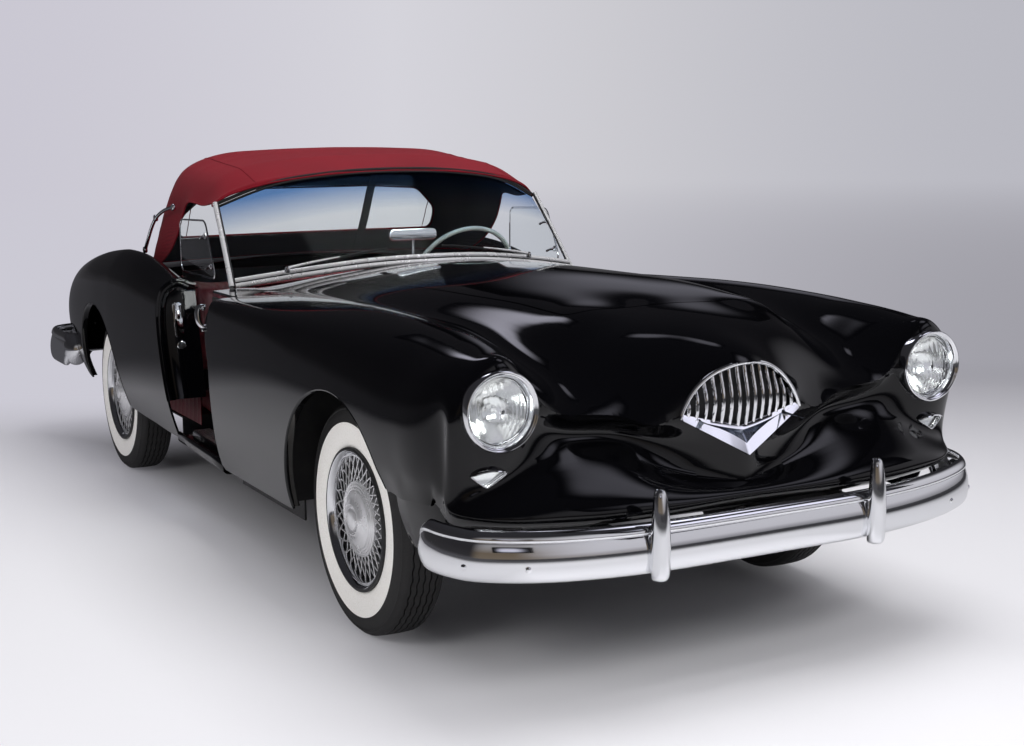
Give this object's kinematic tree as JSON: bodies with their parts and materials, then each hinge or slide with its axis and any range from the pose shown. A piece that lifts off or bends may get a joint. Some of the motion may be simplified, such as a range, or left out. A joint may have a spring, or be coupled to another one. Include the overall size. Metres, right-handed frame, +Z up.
{
  "type": "two-seat convertible car",
  "caption": "Low 1950s two-seat roadster with its cloth top up, doors that slide forward into the fenders, a small fan grille and wire-pattern wheels.",
  "frame": {"origin": "on the ground under the middle of the car: the centre of the bounding box at its bottom", "axes": "+X to the front of the car, +Y to the left of its driver, +Z up"},
  "size_m": [4.676, 1.718, 1.345],
  "materials": {
    "paint": "deep gloss black",
    "chrome": "polished plate",
    "chassis": "satin black",
    "engine": "painted casting",
    "sill_plate": "ribbed tread plate",
    "trim": "grained trim",
    "carpet": "loop pile",
    "leather": "pleated hide",
    "canvas": "woven top cloth",
    "glass": "clear",
    "lamp": "fluted",
    "red_lamp": "fluted red",
    "steering_rim": "cast rim",
    "tyre": "black rubber with a pale wall band",
    "wheel": "bright rim and cover"
  },
  "bodies": {
    "car_body": {"front_fenders": "paint", "nose_panel": "paint", "cowl_panel": "paint", "rear_quarter_left": "paint", "rear_quarter_right": "paint", "tail_panel": "paint", "rear_deck": "paint", "sills": "sill_plate", "cabin_trim": "trim", "floor_pan": "carpet", "firewall": "paint", "inner_fenders": "paint", "rear_wheel_walls": "paint", "frame_rails": "chassis", "front_suspension": "chassis", "rear_axle": "chassis", "engine_block": "engine", "fuel_tank": "chassis", "exhaust_pipe": "chassis", "front_bumper": "chrome", "rear_bumper": "chrome", "grille": "chrome", "headlamps": "lamp", "parking_lamps": "lamp", "tail_lamps": "red_lamp", "windshield_frame": "chrome", "windshield_glass": "glass", "wipers": "chrome", "wind_wings": "glass", "mirror": "chrome", "dashboard": "trim", "steering_column": "chassis", "seat_cushions": "leather", "seat_backs": "leather", "soft_top": "canvas", "rear_window": "glass", "top_frame": "chrome", "plate_bracket": "chassis"},
    "hood": {"hood": "paint"},
    "boot_lid": {"boot_lid": "paint"},
    "door_left": {"door_left": "paint"},
    "door_right": {"door_right": "paint"},
    "steering_wheel": {"steering_wheel": "steering_rim"},
    "knuckle_left": {"knuckle_left": "chassis"},
    "knuckle_right": {"knuckle_right": "chassis"},
    "road_wheel_front_left": {"tyre_front_left": "tyre", "wheel_front_left": "wheel"},
    "road_wheel_front_right": {"tyre_front_right": "tyre", "wheel_front_right": "wheel"},
    "road_wheel_rear_left": {"tyre_rear_left": "tyre", "wheel_rear_left": "wheel"},
    "road_wheel_rear_right": {"tyre_rear_right": "tyre", "wheel_rear_right": "wheel"}
  },
  "joints": [
    {"name": "steer_left", "type": "hinge", "parent": "car_body", "child": "knuckle_left", "pos_m": [1.388, 0.6, 0.333], "axis": [0, 0, 1], "range_deg": [-28, 28]},
    {"name": "steer_right", "type": "hinge", "parent": "car_body", "child": "knuckle_right", "pos_m": [1.388, -0.6, 0.333], "axis": [0, 0, 1], "range_deg": [-28, 28]},
    {"name": "steering_wheel_turn", "type": "hinge", "parent": "car_body", "child": "steering_wheel", "pos_m": [-0.062, 0.33, 0.86], "axis": [-0.8829, 0, 0.4695], "range_deg": [-450, 450]},
    {"name": "front_left_spin", "type": "hinge", "parent": "knuckle_left", "child": "road_wheel_front_left", "pos_m": [1.388, 0.686, 0.333], "axis": [0, 1, 0], "continuous": true},
    {"name": "front_right_spin", "type": "hinge", "parent": "knuckle_right", "child": "road_wheel_front_right", "pos_m": [1.388, -0.686, 0.333], "axis": [0, 1, 0], "continuous": true},
    {"name": "rear_left_spin", "type": "hinge", "parent": "car_body", "child": "road_wheel_rear_left", "pos_m": [-1.152, 0.686, 0.333], "axis": [0, 1, 0], "continuous": true},
    {"name": "rear_right_spin", "type": "hinge", "parent": "car_body", "child": "road_wheel_rear_right", "pos_m": [-1.152, -0.686, 0.333], "axis": [0, 1, 0], "continuous": true},
    {"name": "door_left_slide", "type": "slide", "parent": "car_body", "child": "door_left", "axis": [1, 0, 0], "range_m": [0, 0.5]},
    {"name": "door_right_slide", "type": "slide", "parent": "car_body", "child": "door_right", "axis": [1, 0, 0], "range_m": [-0.5, 0]},
    {"name": "hood_hinge", "type": "hinge", "parent": "car_body", "child": "hood", "pos_m": [1.841, 0, 0.947], "axis": [0, 1, 0], "range_deg": [0, 45]},
    {"name": "boot_lid_hinge", "type": "hinge", "parent": "car_body", "child": "boot_lid", "pos_m": [-2.102, 0, 0.728], "axis": [0, -1, 0], "range_deg": [0, 45]}
  ],
  "couplings": [
    {"joint": "steer_right", "follows": "steer_left", "ratio": 1},
    {"joint": "steering_wheel_turn", "follows": "steer_left", "ratio": 16}
  ]
}
